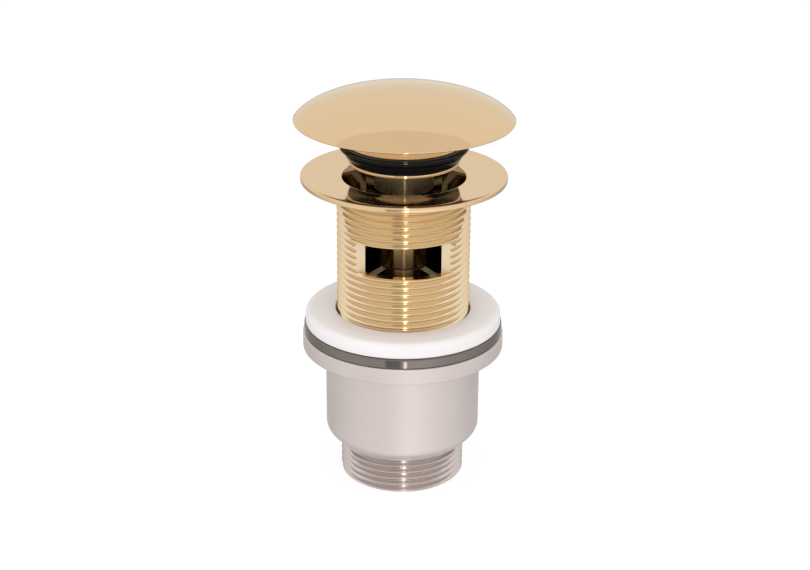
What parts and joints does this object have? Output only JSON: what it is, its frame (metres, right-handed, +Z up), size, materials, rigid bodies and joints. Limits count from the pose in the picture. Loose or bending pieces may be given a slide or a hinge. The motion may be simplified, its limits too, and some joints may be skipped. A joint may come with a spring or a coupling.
{
  "type": "pop up basin waste",
  "caption": "Click-clack basin waste: domed gold plug over a dished flange, threaded tube with overflow slots, white washer and a satin screw-on outlet body with a threaded tail.",
  "frame": {"origin": "centre of the outlet's end face, the lowest plane of the part", "axes": "+Z up along the tube towards the plug; -Y is the side with the overflow slot that the picture shows"},
  "size_m": [0.0722, 0.0722, 0.1356],
  "materials": {
    "gold_polished": "polished pale gold plating",
    "raw_brass": "turned brass",
    "nickel_satin": "satin nickel plating",
    "ring_polished": "polished steel",
    "rod_steel": "bright steel",
    "white_rubber": "smooth white rubber",
    "black_rubber": "smooth black rubber",
    "acetal": "moulded acetal",
    "fibre": "pressed fibre"
  },
  "bodies": {
    "waste_body": {"flange_tube": "gold_polished", "cartridge_housing": "gold_polished", "cartridge_washer": "fibre", "cam_sleeve": "acetal", "gland_nut": "raw_brass", "rod_o_ring": "black_rubber", "spring_seat": "raw_brass", "return_spring": "rod_steel"},
    "plug": {"mushroom_cap": "gold_polished", "plug_body": "gold_polished", "plug_seal": "black_rubber", "rod_lock_nut": "raw_brass", "push_rod": "rod_steel", "thrust_collar": "acetal", "collar_pin": "rod_steel"},
    "rotor": {"index_rotor": "acetal", "spring_washer": "rod_steel"},
    "clamp_stack": {"basin_washer": "white_rubber", "slip_ring": "ring_polished"},
    "outlet": {"outlet_body": "nickel_satin"}
  },
  "joints": [
    {"name": "plug_press", "type": "slide", "parent": "waste_body", "child": "plug", "axis": [0, 0, 1], "range_m": [-0.0095, 0], "stiffness_N_per_m": 800, "springref_m": 0.015, "deforming": ["return_spring"]},
    {"name": "rotor_turn", "type": "hinge", "parent": "plug", "child": "rotor", "pos_m": [0, 0, 0.08], "axis": [0, 0, 1], "range_deg": [0, 45]},
    {"name": "clamp_climb", "type": "slide", "parent": "waste_body", "child": "clamp_stack", "axis": [0, 0, 1], "range_m": [0, 0.01848]},
    {"name": "outlet_turn", "type": "hinge", "parent": "clamp_stack", "child": "outlet", "pos_m": [0, 0, 0.03], "axis": [0, 0, 1], "range_deg": [0, 2880]}
  ],
  "couplings": [
    {"joint": "rotor_turn", "follows": "plug_press", "rad_per_m": -82.673},
    {"joint": "clamp_climb", "follows": "outlet_turn", "m_per_rad": 0.00036749}
  ]
}
